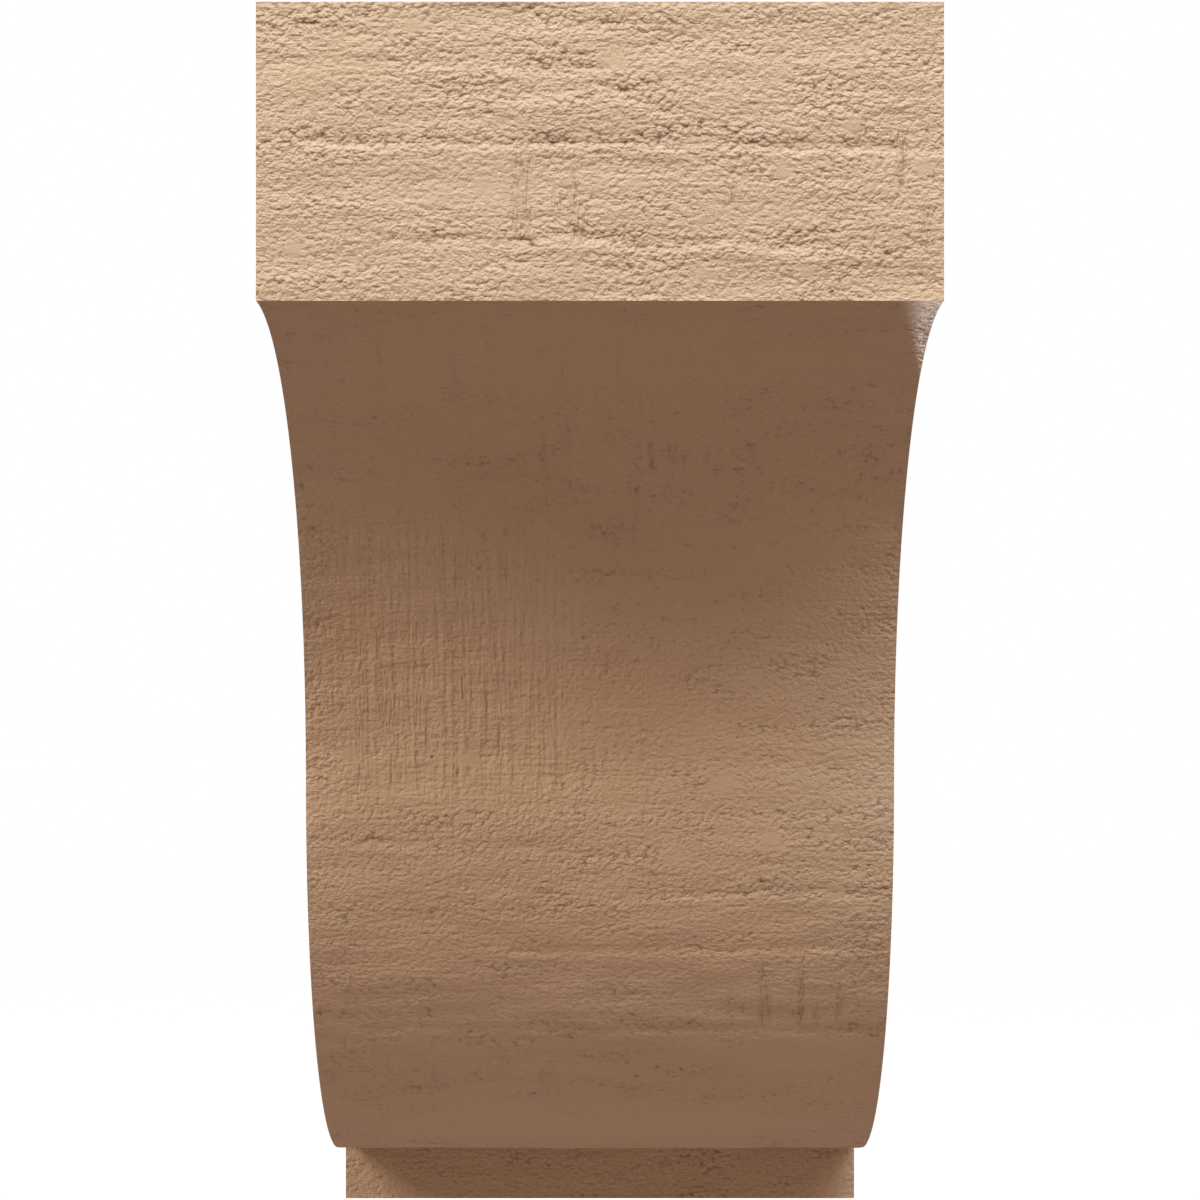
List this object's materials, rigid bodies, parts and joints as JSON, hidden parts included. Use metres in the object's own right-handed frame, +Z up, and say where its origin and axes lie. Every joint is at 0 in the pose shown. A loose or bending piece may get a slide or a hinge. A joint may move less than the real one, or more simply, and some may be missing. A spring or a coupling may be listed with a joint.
{
  "type": "corbel",
  "caption": "Wall-mounted corbel with a square cap, an S-curved front and a small foot, cast in urethane with a rough-sawn wood face.",
  "frame": {"origin": "centre of the flat back that goes against the wall, at half the height and half the width", "axes": "+Z up, +Y into the wall so that the front faces -Y, +X across the width to the right as seen from the front"},
  "size_m": [0.1524, 0.3048, 0.3048],
  "materials": {
    "cast_urethane": "tan factory primer over a cast rough-sawn wood grain, satin"
  },
  "bodies": {
    "root": {"corbel": "cast_urethane"}
  },
  "joints": []
}
